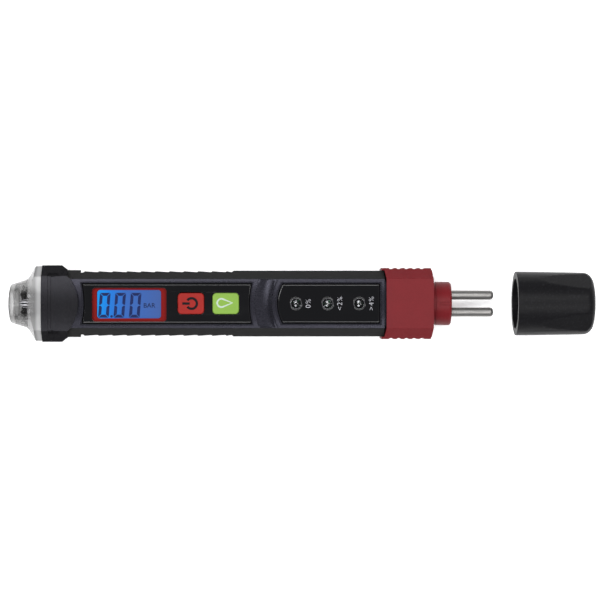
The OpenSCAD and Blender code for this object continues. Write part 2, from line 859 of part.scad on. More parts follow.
module probe_collar() {
    rib_r = 1.2;
    rib_pitch = 2.55;
    lip_half_w = body_half_w + 0.1;
    spigot_end = spigot_end_s + 1.9;
    color("#8e2a30") placed() difference() {
        intersection() {
            along(collar_s, collar_end_s) section(collar_half_w, axis_z, -axis_z, 3.6);
            up(-20, 20) polygon([
                [collar_s, -collar_half_w], [collar_end_s - 0.8, -collar_half_w],
                [collar_end_s - 0.4, 1 - collar_half_w],
                [collar_end_s, -7.8], [collar_end_s, 7.8], [collar_end_s - 0.4, collar_half_w - 1],
                [collar_end_s - 0.8, collar_half_w], [collar_s, collar_half_w],
                [collar_s, lip_half_w], [housing_end_s + gap, lip_half_w],
                [collar_top_s, 8.05], [collar_top_s, -8.05],
                [housing_end_s + gap, -lip_half_w], [collar_s, -lip_half_w]
            ]);
        }
        along(collar_s - 1, spigot_end) section(9.9, 9.2, -9.2, 2.6);
        rod(spigot_end - 1, collar_end_s + 1, neck_r + 0.1);
        for (i = [0:4], side = [-1, 1])
            post(collar_s + 3.2 + i * rib_pitch, side * (collar_half_w + rib_r - 0.35), -20, 20, rib_r);
    }
}

module probe_holder() {
    neck_l = neck_end_s - spigot_end_s - 1;
    neck_round = 0.9;
    color("#9c2d33") placed() difference() {
        union() {
            rod(spigot_end_s + 0.1, spigot_end_s + 1.8, 8.3);
            translate([spigot_end_s + 1, 0, 0]) rotate([0, 90, 0]) rotate_extrude() polygon(concat(
                [[0, 0], [neck_r, 0]],
                [for (a = [0:15:90])
                    [neck_r - neck_round * (1 - cos(a)), neck_l - neck_round * (1 - sin(a))]],
                [[0, neck_l]]
            ));
        }
        difference() {
            rod(collar_end_s, collar_end_s + 1.1, neck_r + 1);
            rod(collar_end_s - 1, collar_end_s + 2, neck_r - 0.3);
        }
        for (side = [-1, 1]) {
            rod(spigot_end_s - 1, neck_end_s + 1, pin_r + 0.02, side * pin_pitch / 2);
            translate([collar_end_s + 2.3, -0.55, side > 0 ? neck_r - 0.5 : -neck_r - 0.5])
                cube([5, 1.1, 1]);
        }
    }
}

module probe_pin(side) {
    round_l = 1.1;
    straight = pin_tip_s - round_l;
    color("silver") placed() translate([0, side * pin_pitch / 2, 0]) {
        rod(pin_s, straight, pin_r);
        translate([straight, 0, 0]) rotate([0, 90, 0]) rotate_extrude() polygon(concat(
            [[0, -eps], [pin_r, -eps]],
            [for (a = [0:15:90]) [0.45 + (pin_r - 0.45) * cos(a), round_l * sin(a)]],
            [[0, round_l]]
        ));
    }
}

module probe_pin_left() { probe_pin(1); }

module probe_pin_right() { probe_pin(-1); }

// Sprung strips from the pins' tails to the circuit board
module probe_contacts() {
    t = 0.3;
    end = pin_s - 0.1;
    under = pcb_bottom - gap;
    color("gold") placed() for (side = [-1, 1])
        translate([0, side * pin_pitch / 2 + 0.6, 0]) rotate([90, 0, 0]) linear_extrude(1.2)
            polygon([
                [end, -1.2], [end, 1.4], [end - 2.4, 1.4], [pcb_end_s + 4, under],
                [pcb_end_s - 3, under], [pcb_end_s - 3, under - t], [pcb_end_s + 3.9, under - t],
                [end - 2.5, 1.4 - t], [end - t, 1.4 - t], [end - t, -1.2]
            ]);
}

module housing_screws() {
    color("silver") placed() for (s = screw_stations, side = [-1, 1])
        translate([s, side * screw_y, 0]) difference() {
            union() {
                up(-body_half_h + 0.2, -body_half_h + 1.55) circle(screw_head_r);
                up(-body_half_h + 1.5, 5.5) circle(screw_r);
            }
            for (turn = [0, 90])
                rotate([0, 0, turn]) translate([-1, -0.18, -body_half_h]) cube([2, 0.36, 0.9]);
        }
}

// ---------- cap ----------

module cap() {
    end_r = cap_r - 0.35;
    corner = 3.2;
    depth = total_l - cap_s;
    wall_end = 2;
    flute_s = 8;
    flute_turn = 40;
    grip_ribs = 6;
    flute_slope = atan((end_r * (1 - cos(25))) / (depth - flute_s - 2));
    color("#232325") placed() difference() {
        union() {
            difference() {
                translate([cap_s, 0, 0]) rotate([0, 90, 0]) rotate_extrude() polygon(concat(
                    [[0, 0], [cap_r - 0.15, 0], [cap_r, 0.15]],
                    [for (a = [0:10:90])
                        [end_r - corner + corner * cos(a), depth - corner + corner * sin(a)]],
                    [[0, depth]]
                ));
                rod(cap_s - 1, cap_s + depth - wall_end, cap_bore_r);
            }
            for (i = [0:grip_ribs - 1])
                rotate([i * 360 / grip_ribs, 0, 0])
                    box(cap_s + 1.3, cap_s + 7, -0.4, 0.4, neck_r + 0.12, cap_bore_r + 0.3);
        }
        for (i = [0:cap_flutes - 1])
            rotate([flute_turn + i * 360 / cap_flutes, 0, 0])
                translate([cap_s + flute_s, -10, cap_r - 0.11]) rotate([0, flute_slope, 0])
                    cube([30, 20, 10]);
    }
}

front_housing();
rear_housing();
left_grip();
right_grip();
head_shroud();
nozzle();
valve_seal();
depressor_pin();
air_block();
nozzle_oring();
nozzle_leds();
nozzle_led_board();
air_tube();
pressure_sensor();
main_pcb();
processor();
small_components();
lcd_frame();
lcd_glass();
lcd_backlight();
lcd_connector_strip();
display_panel();
lcd_lens();
led_panel();
led_dry();
led_damp();
led_wet();
power_switch();
fluid_switch();
battery_cell();
battery_spring();
battery_minus_plate();
battery_plus_plate();
probe_collar();
probe_holder();
probe_pin_left();
probe_pin_right();
probe_contacts();
housing_screws();
power_button();
power_switch_stem();
fluid_button();
fluid_switch_stem();
battery_door();
cap();
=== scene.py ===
import bpy
import math
from mathutils import Matrix, Vector
from mathutils.geometry import tessellate_polygon


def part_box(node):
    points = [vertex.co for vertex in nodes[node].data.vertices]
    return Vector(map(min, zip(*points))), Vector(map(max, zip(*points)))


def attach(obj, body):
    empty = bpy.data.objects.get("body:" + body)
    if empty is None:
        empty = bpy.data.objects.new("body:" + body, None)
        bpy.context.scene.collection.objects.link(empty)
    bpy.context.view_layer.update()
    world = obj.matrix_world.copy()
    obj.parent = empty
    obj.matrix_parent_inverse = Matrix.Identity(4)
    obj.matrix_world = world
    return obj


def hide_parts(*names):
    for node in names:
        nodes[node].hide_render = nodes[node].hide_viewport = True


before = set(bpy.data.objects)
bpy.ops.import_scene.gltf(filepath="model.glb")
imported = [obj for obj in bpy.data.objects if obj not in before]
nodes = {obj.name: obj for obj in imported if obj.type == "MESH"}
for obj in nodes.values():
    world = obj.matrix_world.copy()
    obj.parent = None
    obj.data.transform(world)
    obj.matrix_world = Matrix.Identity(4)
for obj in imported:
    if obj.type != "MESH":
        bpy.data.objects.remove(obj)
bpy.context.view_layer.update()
mm = 0.001


def middle(node):
    low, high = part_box(node)
    return (low + high) / 2


axisZ = middle("probe_pin_left").z  # height of the tool's long axis
print("frame loaded, long axis at", round(axisZ / mm, 2), "mm")

# straight above the tool; distance and aim in mm
cameraView = {"lens": 103, "sensor": 36, "clip": (0.01, 50), "distance": 580, "aimX": 0.8, "aimY": -0.15}


def placeCamera(view):
    data = bpy.data.cameras.new("camera")
    data.lens = view["lens"]
    data.sensor_width = view["sensor"]
    data.clip_start, data.clip_end = view["clip"]
    camera = bpy.data.objects.new("camera", data)
    camera.location = (view["aimX"] * mm, view["aimY"] * mm, axisZ + view["distance"] * mm)
    bpy.context.collection.objects.link(camera)
    bpy.context.scene.camera = camera


placeCamera(cameraView)
print("camera placed")


class Flow:  # a socket that can be used in sums
    def __init__(self, paint, socket):
        self.paint = paint
        self.socket = socket

    def maths(self, operation, first, second):
        node = self.paint.node("ShaderNodeMath", {"operation": operation}, {0: first, 1: second})
        return Flow(self.paint, node.outputs[0])

    def __add__(self, other):
        return self.maths("ADD", self, other)

    def __sub__(self, other):
        return self.maths("SUBTRACT", self, other)

    def __rsub__(self, other):
        return self.maths("SUBTRACT", other, self)

    def __mul__(self, other):
        return self.maths("MULTIPLY", self, other)

    __radd__ = __add__
    __rmul__ = __mul__


def setStops(ramp, stops):
    while len(ramp.elements) < len(stops):
        ramp.elements.new(0.5)
    for element, (place, color) in zip(ramp.elements, stops):
        element.position = place
        element.color = (*color, 1)


class Paint:  # one material, its nodes and its main shader
    def __init__(self, name, **sockets):
        self.material = bpy.data.materials.new(name)
        self.material.use_nodes = True
        self.tree = self.material.node_tree
        self.tree.nodes.clear()
        self.shader = self.node("ShaderNodeBsdfPrincipled", {}, sockets)
        output = self.node("ShaderNodeOutputMaterial")
        self.tree.links.new(self.shader.outputs[0], output.inputs["Surface"])

    def node(self, kind, settings=None, sockets=None):
        made = self.tree.nodes.new(kind)
        for key, value in (settings or {}).items():
            if key == "stops":
                setStops(made.color_ramp, value)
            else:
                setattr(made, key, value)
        for key, value in (sockets or {}).items():
            self.feed(made.inputs[key], value)
        return made

    def feed(self, socket, value):
        if isinstance(value, Flow):
            self.tree.links.new(value.socket, socket)
        elif socket.type == "RGBA":
            socket.default_value = (*value, 1)
        else:
            socket.default_value = value

    def flow(self, node, output=0):
        return Flow(self, node.outputs[output])

    def coords(self, stretch=(1, 1, 1)):
        place = self.flow(self.node("ShaderNodeTexCoord"), "Object")
        return self.flow(self.node("ShaderNodeMapping", {}, {"Vector": place, "Scale": stretch}))

    def noise(self, size, detail=2, stretch=(1, 1, 1)):  # size of one blotch, in mm
        return self.flow(self.node(
            "ShaderNodeTexNoise", {},
            {"Vector": self.coords(stretch), "Scale": 1 / (size * mm), "Detail": detail},
        ))

    def cells(self, size):  # distance from scattered points, size in mm apart
        return self.flow(self.node(
            "ShaderNodeTexVoronoi", {"feature": "F1"},
            {"Vector": self.coords(), "Scale": 1 / (size * mm)},
        ), "Distance")

    def between(self, value, low, high, start=0, end=1):  # start at low, end at high
        return self.flow(self.node(
            "ShaderNodeMapRange", {},
            {"Value": value, "From Min": low, "From Max": high, "To Min": start, "To Max": end},
        ))

    def blend(self, factor, first, second):
        return self.flow(self.node(
            "ShaderNodeMix", {"data_type": "RGBA"}, {0: factor, 6: first, 7: second}
        ), 2)

    def place(self, axis):
        return self.flow(self.node("ShaderNodeSeparateXYZ", {}, {0: self.coords()}), axis)

    def ramp(self, stops, value):
        return self.flow(self.node("ShaderNodeValToRGB", {"stops": stops}, {0: value}))

    def set(self, **sockets):
        for key, value in sockets.items():
            self.feed(self.shader.inputs[key.replace("_", " ")], value)
        return self

    def relief(self, height, depth):  # depth of the relief, in mm
        bump = self.node("ShaderNodeBump", {}, {"Height": height, "Distance": depth * mm})
        return self.set(Normal=self.flow(bump))


def shaded(color, amount):
    return tuple(channel * amount for channel in color)


def mouldedPlastic(name, look):  # fine grain, broad patches and small light specks
    paint = Paint(name, IOR=1.5, **{
        "Specular IOR Level": look.get("shine", 0.4), "Specular Tint": look.get("sheen", (1, 1, 1))})
    grain = paint.noise(look["grain"], 3)
    patches = paint.noise(9, 3)
    speck = paint.between(paint.noise(look["grain"] * 1.7, 1), 0.52, 0.7)
    base = paint.blend(paint.between(patches, 0.35, 0.65), shaded(look["color"], 0.9), look["color"])
    paint.set(
        Base_Color=paint.blend(speck * 0.35, base, shaded(look["color"], look["speck"])),
        Roughness=(grain - 0.5) * 0.12 + ((patches - 0.5) * 0.06 + look["roughness"]),
    )
    return paint.relief(grain, look["relief"]).material


def grippyRubber(name, look):  # dusty in patches
    paint = Paint(name, IOR=1.46, **{"Specular IOR Level": 0.2})
    grain = paint.noise(look["grain"], 4)
    dust = paint.between(paint.noise(6, 4), 0.45, 0.75)
    paint.set(
        Base_Color=paint.blend(dust * 0.5, look["color"], look["dusty"]),
        Roughness=dust * 0.12 + look["roughness"],
    )
    return paint.relief(grain, look["relief"]).material


def polishedBlack(name, look):  # smears, and a little lint
    paint = Paint(name, IOR=1.49)
    smears = paint.between(paint.noise(14, 4, (0.5, 1.6, 1)), 0.4, 0.75)
    lint = paint.between(paint.cells(1.3), 0.0, 0.045, 1, 0)
    paint.set(
        Base_Color=paint.blend(lint * 0.3, look["color"], look["lint"]),
        Roughness=smears * 0.08 + look["roughness"],
    )
    return paint.relief(paint.noise(5, 1), 0.004).material


def milkyPlastic(name, look):  # hazier at its ends, at its sides and along its underside
    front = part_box("nozzle")[0].x
    paint = Paint(name, IOR=1.45, **{"Specular IOR Level": 0.4})
    along = paint.between(paint.place("X"), front, front + look["length"] * mm)
    sideways = paint.place("Y")
    near, far = (reach * mm for reach in look["sideReach"])
    sides = paint.between(sideways * sideways, near * near, far * far, 0, look["sides"])
    top, bottom = (axisZ + rise * mm for rise in look["bellyReach"])
    below = paint.between(paint.place("Z"), top, bottom, 0, look["belly"])
    milk = paint.ramp(look["milk"], along)
    # the tints along its length are partly its milky tone and partly painted shade: a dark painted edge at
    # the front, and bands painted lighter or darker in place of the shade that falls through its layers
    tintAndShade = paint.ramp(look["tintsAndShade"], along)
    haze = paint.noise(3, 3)
    streaks = paint.noise(1.6, 2, (0.25, 1, 1))
    paint.set(
        Base_Color=paint.blend(haze * 0.2, tintAndShade, look["cloud"]),
        Alpha=milk + sides + below + (haze - 0.5) * 0.04,
        Roughness=haze * 0.12 + look["roughness"],
    )
    return paint.relief(streaks, look["relief"]).material


def flutedMetal(name, look):  # painted shade darkens it in the grooves between its flutes
    paint = Paint(name, Metallic=look["metal"])
    height = paint.place("Z") - axisZ
    turn = height.maths("ARCTAN2", height, paint.place("Y")) * look["flutes"]
    # painted shade: where the pin is cut into flutes, the colour turns to the nearly black shade colour
    groove = paint.between(turn.maths("COSINE", turn, 0), -0.1, 0.4)
    wear = paint.noise(0.4, 3)
    paint.set(
        Base_Color=paint.blend(groove, look["color"], look["shade"]),
        Roughness=wear * 0.1 + look["roughness"],
    )
    return paint.relief(wear, 0.004).material


def smokyRubber(name, look):  # clearer over its top
    paint = Paint(name, IOR=1.46, **{"Specular IOR Level": 0.2})
    top, bottom = (axisZ + rise * mm for rise in look["reach"])
    grain = paint.noise(0.5, 3)
    paint.set(
        Base_Color=paint.blend(grain, look["color"], shaded(look["color"], 1.6)),
        Roughness=grain * 0.2 + look["roughness"],
        Alpha=paint.between(paint.place("Z"), top, bottom, look["clearest"], 1),
    )
    return paint.relief(grain, 0.01).material


def clearPlastic(name, look):  # a faint haze, and flow marks along it
    paint = Paint(name, IOR=1.45, **{"Transmission Weight": look["clear"]})
    haze = paint.noise(4, 3)
    flow = paint.noise(2.2, 2, (0.3, 1, 1))
    paint.set(
        Base_Color=paint.blend(haze, look["color"], shaded(look["color"], 0.94)),
        Roughness=haze * 0.1 + look["roughness"],
    )
    return paint.relief(flow, look["relief"]).material


def thinWindow(name, look):  # see-through, with finger smears
    paint = Paint(name, IOR=1.49, Alpha=look["alpha"], **{"Specular IOR Level": 0.15})
    smears = paint.between(paint.noise(12, 4, (0.5, 1.5, 1)), 0.4, 0.8)
    paint.set(Base_Color=look["color"], Roughness=smears * 0.06 + look["roughness"])
    return paint.material


def platedMetal(name, look):  # marks drawn out along its length, and pits
    paint = Paint(name, Metallic=1.0)
    drawn = paint.noise(0.35, 4, (0.06, 1, 1))
    pits = paint.noise(0.22, 2)
    tone = paint.between(drawn, 0.3, 0.7)
    paint.set(
        Base_Color=paint.blend(tone, look["color"], shaded(look["color"], 0.72)),
        Roughness=drawn * 0.22 + look["roughness"],
    )
    return paint.relief(drawn * 0.7 + pits * 0.3, look["relief"]).material


def circuitBoard(name, look):  # wandering copper tracks
    paint = Paint(name, IOR=1.5, **{"Coat Weight": 0.4})
    wave = {"Vector": paint.coords(), "Scale": look["density"], "Distortion": look["wander"], "Detail": 1.5}
    lines = paint.flow(paint.node("ShaderNodeTexWave", {"bands_direction": "Y"}, wave))
    tracks = paint.between(lines, 0.72, 0.8)
    paint.set(
        Base_Color=paint.blend(tracks, look["color"], look["track"]),
        Roughness=0.5 - tracks * 0.15,
    )
    return paint.relief(tracks, 0.03).material


def litDisplay(name, look):  # its light fades from left to right
    low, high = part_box("lcd_glass")
    paint = Paint(
        name, Roughness=0.3, **{"Emission Strength": look["glow"], "Specular IOR Level": 0.0})
    cloud = paint.noise(5, 2) - 0.5
    fade = paint.between(paint.place("X"), low.x, high.x) + cloud * 0.08
    paint.set(Base_Color=look["color"], Emission_Color=paint.ramp(look["stops"], fade))
    return paint.material


def flatInk(name, look):  # a little worn
    paint = Paint(name, **{"Specular IOR Level": 0.12})
    wear = paint.between(paint.noise(0.6, 3), 0.45, 0.75)
    paint.set(
        Base_Color=paint.blend(wear * 0.35, look["color"], shaded(look["color"], 0.8)),
        Roughness=wear * 0.15 + look["roughness"],
    )
    return paint.relief(paint.noise(0.4), 0.004).material


def wrappedCell(name, look):  # a printed wrap with a band at one end
    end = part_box("battery_cell")[1].x
    start = end - look["bandWidth"] * mm
    paint = Paint(name, IOR=1.5, Metallic=0.6, **{"Coat Weight": 0.5})
    band = paint.between(paint.place("X"), start, start + look["bandFade"] * mm)
    paint.set(
        Base_Color=paint.blend(band, look["color"], look["band"]),
        Roughness=paint.noise(3) * 0.1 + look["roughness"],
    )
    return paint.material


# sizes of grain and depths of relief in mm; a ramp's stops run along the piece from 0 to 1
finishes = {
    "frame": mouldedPlastic("frame plastic", {
        "color": (0.0062, 0.0061, 0.0082), "grain": 0.32, "relief": 0.005, "roughness": 0.27, "speck": 2.4,
        "shine": 0.27, "sheen": (0.8, 0.79, 1.0)}),
    "shroud": mouldedPlastic("shroud plastic", {
        "color": (0.0078, 0.0076, 0.0084), "grain": 0.34, "relief": 0.005, "roughness": 0.29, "speck": 2.4,
        "shine": 0.13, "sheen": (0.88, 0.87, 1.0)}),
    "rubber": grippyRubber("grip rubber", {
        "color": (0.0095, 0.0095, 0.0095), "dusty": (0.0125, 0.0125, 0.0125), "grain": 0.25,
        "relief": 0.016, "roughness": 0.6}),
    "seal": grippyRubber("seal rubber", {
        "color": (0.012, 0.012, 0.012), "dusty": (0.03, 0.03, 0.03), "grain": 0.3, "relief": 0.01,
        "roughness": 0.55}),
    "tube": grippyRubber("silicone tube", {
        "color": (0.5, 0.5, 0.48), "dusty": (0.62, 0.62, 0.6), "grain": 0.4, "relief": 0.01,
        "roughness": 0.45}),
    "nozzle": milkyPlastic("milky nozzle", {
        "roughness": 0.16, "relief": 0.015, "length": 11.5, "cloud": (0.28, 0.28, 0.28),
        "belly": 0.45, "bellyReach": (1, -3), "sides": 0.5, "sideReach": (3.2, 6.2),
        # the first tints paint a dark edge at the nozzle's front, and the later ones are painted lighter or
        # darker band by band as painted shade
        "tintsAndShade": [(0.0, (0.03, 0.03, 0.03)), (0.02, (0.09, 0.09, 0.09)), (0.05, (0.27, 0.268, 0.264)),
                  (0.16, (0.4, 0.397, 0.392)), (0.42, (0.4, 0.397, 0.392)), (0.55, (0.155, 0.152, 0.151)),
                  (0.74, (0.185, 0.184, 0.183)), (0.82, (0.155, 0.155, 0.155)), (0.9, (0.32, 0.32, 0.32))],
        "milk": [(0.0, (0.9, 0.9, 0.9)), (0.03, (0.6, 0.6, 0.6)), (0.13, (0.55, 0.55, 0.55)),
                 (0.2, (0.04, 0.04, 0.04)), (0.54, (0.02, 0.02, 0.02)), (0.62, (0.5, 0.5, 0.5)),
                 (0.86, (0.72, 0.72, 0.72)), (0.93, (0.85, 0.85, 0.85))]}),
    "block": milkyPlastic("frosted block", {
        "roughness": 0.25, "relief": 0.008, "length": 11.5, "cloud": (0.3, 0.3, 0.3),
        "belly": 0.5, "bellyReach": (1, -3), "sides": 0.3, "sideReach": (3.6, 5.4),
        "tintsAndShade": [(0.0, (0.34, 0.34, 0.34)), (1.0, (0.42, 0.42, 0.42))],
        "milk": [(0.0, (0.05, 0.05, 0.05)), (0.58, (0.05, 0.05, 0.05)), (0.72, (0.5, 0.5, 0.5)),
                 (1.0, (1.0, 1.0, 1.0))]}),
    # the shade colour of the fluted chrome is painted shade in the grooves of its flutes
    "flutes": flutedMetal("fluted chrome", {
        "color": (0.84, 0.84, 0.88), "shade": (0.004, 0.004, 0.006), "flutes": 8, "roughness": 0.2,
        "metal": 0.25}),
    "smoky": smokyRubber("smoky seal", {
        "color": (0.006, 0.006, 0.007), "roughness": 0.5, "clearest": 0.08, "reach": (0.5, -1.5)}),
    "dome": clearPlastic("lamp dome", {
        "color": (0.98, 0.98, 1.0), "clear": 0.15, "roughness": 0.12, "relief": 0.004}),
    "lamp": clearPlastic("warning lamp", {
        "color": (0.5, 0.51, 0.53), "clear": 0.98, "roughness": 0.03, "relief": 0.006}),
    "bezel": clearPlastic("lamp bezel", {
        "color": (0.18, 0.18, 0.19), "clear": 0.5, "roughness": 0.15, "relief": 0.01}),
    "window": thinWindow("display window", {"color": (0.03, 0.03, 0.03), "alpha": 0.1, "roughness": 0.04}),
    "panel": polishedBlack("polished black", {
        "color": (0.0055, 0.0055, 0.006), "lint": (0.08, 0.08, 0.085), "roughness": 0.07}),
    "nickel": platedMetal("nickel", {"color": (0.25, 0.243, 0.235), "roughness": 0.36, "relief": 0.02}),
    "steel": platedMetal("plated steel", {"color": (0.6, 0.6, 0.6), "roughness": 0.2, "relief": 0.006}),
    "brass": platedMetal("contact brass", {"color": (0.72, 0.5, 0.2), "roughness": 0.2, "relief": 0.006}),
    "board": circuitBoard("circuit board", {
        "color": (0.015, 0.11, 0.04), "track": (0.03, 0.2, 0.07), "density": 420, "wander": 3.5}),
    "white": mouldedPlastic("white plastic", {
        "color": (0.7, 0.7, 0.68), "grain": 0.5, "relief": 0.01, "roughness": 0.4, "speck": 1.05}),
    "cream": mouldedPlastic("sensor plastic", {
        "color": (0.6, 0.57, 0.5), "grain": 0.4, "relief": 0.01, "roughness": 0.45, "speck": 1.1}),
    "chip": mouldedPlastic("chip plastic", {
        "color": (0.014, 0.014, 0.016), "grain": 0.2, "relief": 0.01, "roughness": 0.4, "speck": 2}),
    "ceramic": mouldedPlastic("component ceramic", {
        "color": (0.36, 0.27, 0.14), "grain": 0.4, "relief": 0.01, "roughness": 0.4, "speck": 1.2}),
    "red": mouldedPlastic("collar red", {
        "color": (0.142, 0.0095, 0.013), "grain": 0.36, "relief": 0.016, "roughness": 0.46, "speck": 1.2,
        "shine": 0.12}),
    "lcdRed": mouldedPlastic("display frame red", {
        "color": (0.25, 0.0035, 0.0025), "grain": 0.3, "relief": 0.004, "roughness": 0.45, "speck": 1.1,
        "shine": 0.04}),
    "redKey": mouldedPlastic("red key", {
        "color": (0.27, 0.0135, 0.01), "grain": 0.28, "relief": 0.004, "roughness": 0.38, "speck": 1.2,
        "shine": 0.12}),
    "greenKey": mouldedPlastic("green key", {
        "color": (0.19, 0.335, 0.05), "grain": 0.28, "relief": 0.004, "roughness": 0.4, "speck": 1.1,
        "shine": 0.15}),
    "cap": mouldedPlastic("cap plastic", {
        "color": (0.0068, 0.0067, 0.0077), "grain": 0.34, "relief": 0.006, "roughness": 0.42, "speck": 2.6,
        "shine": 0.08}),
    "display": litDisplay("lit display", {"color": (0.01, 0.02, 0.06), "glow": 1.0, "stops": [
        (0.0, (0.0, 0.42, 1.0)), (0.07, (0.0, 0.34, 1.0)), (0.22, (0.01, 0.24, 0.86)),
        (0.45, (0.045, 0.16, 0.56)), (1.0, (0.066, 0.13, 0.38))]}),
    "segment": flatInk("display segment", {"color": (0.004, 0.016, 0.11), "roughness": 0.5}),
    "faintInk": flatInk("display unit", {"color": (0.003, 0.009, 0.055), "roughness": 0.5}),
    "blackInk": flatInk("black ink", {"color": (0.003, 0.003, 0.005), "roughness": 0.6}),
    "whiteInk": flatInk("white ink", {"color": (0.42, 0.5, 0.42), "roughness": 0.5}),
    "greyInk": flatInk("grey ink", {"color": (0.52, 0.52, 0.56), "roughness": 0.5}),
    "cell": wrappedCell("cell wrap", {
        "color": (0.05, 0.16, 0.3), "band": (0.5, 0.5, 0.52), "bandWidth": 12, "bandFade": 0.2,
        "roughness": 0.28}),
    "backlight": mouldedPlastic("backlight plastic", {
        "color": (0.7, 0.8, 0.9), "grain": 0.5, "relief": 0.004, "roughness": 0.5, "speck": 1.05}),
}
print("finishes made:", len(finishes))


def addPiece(name, verts, faces, body, finish, slot=None, replaces=()):  # rides on a moving body
    mesh = bpy.data.meshes.new(name)
    mesh.from_pydata([tuple(v) for v in verts], [], faces)
    mesh.validate()
    mesh.materials.append(finishes[finish])
    mesh.shade_smooth()
    piece = bpy.data.objects.new(name, mesh)
    bpy.context.collection.objects.link(piece)
    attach(piece, body)
    if replaces:
        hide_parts(*replaces)
    return piece


def evenNormals(piece):  # keeps flat faces flat beside rounded edges
    weighted = piece.modifiers.new("even normals", "WEIGHTED_NORMAL")
    weighted.weight = 60


edgeLook = {"weld": 0.002, "flat": 0.4, "sharp": 26, "segments": 3}  # mm, degrees, degrees


def softenNode(node, width, look):  # rounds a carried-over node's edges, width in mm
    piece = nodes[node]
    if "custom_normal" in piece.data.attributes:
        piece.data.attributes.remove(piece.data.attributes["custom_normal"])
    piece.data.shade_smooth()
    weld = piece.modifiers.new("weld", "WELD")
    weld.merge_threshold = look["weld"] * mm
    flat = piece.modifiers.new("flat faces", "DECIMATE")
    flat.decimate_type = "DISSOLVE"
    flat.angle_limit = math.radians(look["flat"])
    bevel = piece.modifiers.new("soft edges", "BEVEL")
    bevel.width = width * mm
    bevel.segments = look["segments"]
    bevel.limit_method = "ANGLE"
    bevel.angle_limit = math.radians(look["sharp"])
    bevel.use_clamp_overlap = True
    bevel.miter_outer = "MITER_ARC"
    evenNormals(piece)


# outlines run anticlockwise, so that the material lies on their left
def roundedBox(cx, cy, length, width, radius, steps=7):
    outline = []
    for a, b, start in ((1, -1, -90), (1, 1, 0), (-1, 1, 90), (-1, -1, 180)):
        for i in range(steps + 1):
            turn = math.radians(start + 90 * i / steps)
            outline.append((
                cx + a * (length / 2 - radius) + radius * math.cos(turn),
                cy + b * (width / 2 - radius) + radius * math.sin(turn),
            ))
    return outline


def circleLine(cx, cy, radius, steps=40):
    return [
        (cx + radius * math.cos(2 * math.pi * i / steps), cy + radius * math.sin(2 * math.pi * i / steps))
        for i in range(steps)
    ]


sharpTurn = math.radians(25)
cornerRoom = 0.95  # how much of a side one corner's rounding may take


def filleted(outline, radius, steps=6):  # rounds the corners that turn more than sharpTurn
    made = []
    for i, corner in enumerate(outline):
        corner = Vector(corner)
        before = Vector(outline[i - 1]) - corner
        after = Vector(outline[(i + 1) % len(outline)]) - corner
        turn = math.pi - before.angle(after)
        if turn < sharpTurn:
            made.append(tuple(corner))
            continue
        room = cornerRoom * min(before.length, after.length)
        reach = min(radius * math.tan(turn / 2), room)
        first = corner + before.normalized() * reach
        last = corner + after.normalized() * reach
        for k in range(steps + 1):
            t = k / steps
            made.append(tuple(first * (1 - t) ** 2 + corner * 2 * t * (1 - t) + last * t ** 2))
    return made


def inset(outline, distance):  # moves an outline into the material
    made = []
    for i, point in enumerate(outline):
        point = Vector(point)
        before = (point - Vector(outline[i - 1])).normalized()
        after = (Vector(outline[(i + 1) % len(outline)]) - point).normalized()
        normal = Vector((-before.y - after.y, before.x + after.x)).normalized()
        spread = max(0.5, normal.dot(Vector((-before.y, before.x))))  # holds back a very sharp corner
        made.append(tuple(point + normal * distance / spread))
    return made


def plateShape(outer, holes, low, high, edge, holeEdge, steps=5):  # a plate with rounded top edges
    verts, faces, tops, floors = [], [], [], []
    loops = [(outer, edge)] + [(list(reversed(hole)), holeEdge) for hole in holes]
    for outline, radius in loops:
        count = len(outline)
        rings = [(0, low), (0, high - radius)]
        for k in range(1, steps + 1):
            turn = math.radians(90 * k / steps)
            rings.append((radius * (1 - math.cos(turn)), high - radius + radius * math.sin(turn)))
        start = len(verts)
        for shift, height in rings:
            verts += [(x, y, height) for x, y in inset(outline, shift)]
        for r in range(len(rings) - 1):
            for i in range(count):
                a, b = start + r * count + i, start + r * count + (i + 1) % count
                faces.append((a, b, b + count, a + count))
        floors.append(range(start, start + count))
        tops.append(range(start + (len(rings) - 1) * count, start + len(rings) * count))
    for level, upward in ((tops, True), (floors, False)):
        index = [i for loop in level for i in loop]
        lines = [[Vector(verts[i]).to_2d().to_3d() for i in loop] for loop in level]
        for triangle in tessellate_polygon(lines):
            a, b, c = (index[i] for i in triangle)
            first, second, third = (Vector(verts[i]) for i in (a, b, c))
            facesUp = (second - first).cross(third - first).z > 0
            faces.append((a, b, c) if facesUp == upward else (c, b, a))
    return verts, faces


def loftShape(rings, hollow=False):  # joins rings of points; closed ends, or the last ring to the first
    count = len(rings[0])
    verts = [point for ring in rings for point in ring]
    faces = []
    total = len(verts)
    for r in range(len(rings) if hollow else len(rings) - 1):
        for i in range(count):
            a, b = r * count + i, r * count + (i + 1) % count
            faces.append((a, b, (b + count) % total, (a + count) % total))
    if hollow:
        return verts, faces
    faces.append(tuple(range(count - 1, -1, -1)))
    last = (len(rings) - 1) * count
    faces.append(tuple(range(last, last + count)))
    return verts, faces


inkRise = 0.02 * mm  # how far a mark stands out of its face
inkEdge = 0.005 * mm


def ribbonShape(path, width, low, high, closed=False):  # a flat band of ink along a path
    path = [Vector(point) for point in path]
    left, right = [], []
    for i, point in enumerate(path):
        before = path[i - 1] if i or closed else point
        after = path[(i + 1) % len(path)] if closed or i < len(path) - 1 else point
        along = (after - before).normalized()
        side = Vector((-along.y, along.x)) * width / 2
        left.append(point + side)
        right.append(point - side)
    if closed:
        outer, inner = [tuple(p) for p in right], [tuple(p) for p in left]
        return plateShape(outer, [inner], low, high, 2 * inkEdge, 2 * inkEdge, 2)
    outline = [tuple(p) for p in right + left[::-1]]
    return plateShape(outline, [], low, high, inkEdge, 0, 2)


def joined(shapes):  # several shapes as one
    verts, faces = [], []
    for shapeVerts, shapeFaces in shapes:
        start = len(verts)
        verts += shapeVerts
        faces += [tuple(i + start for i in face) for face in shapeFaces]
    return verts, faces


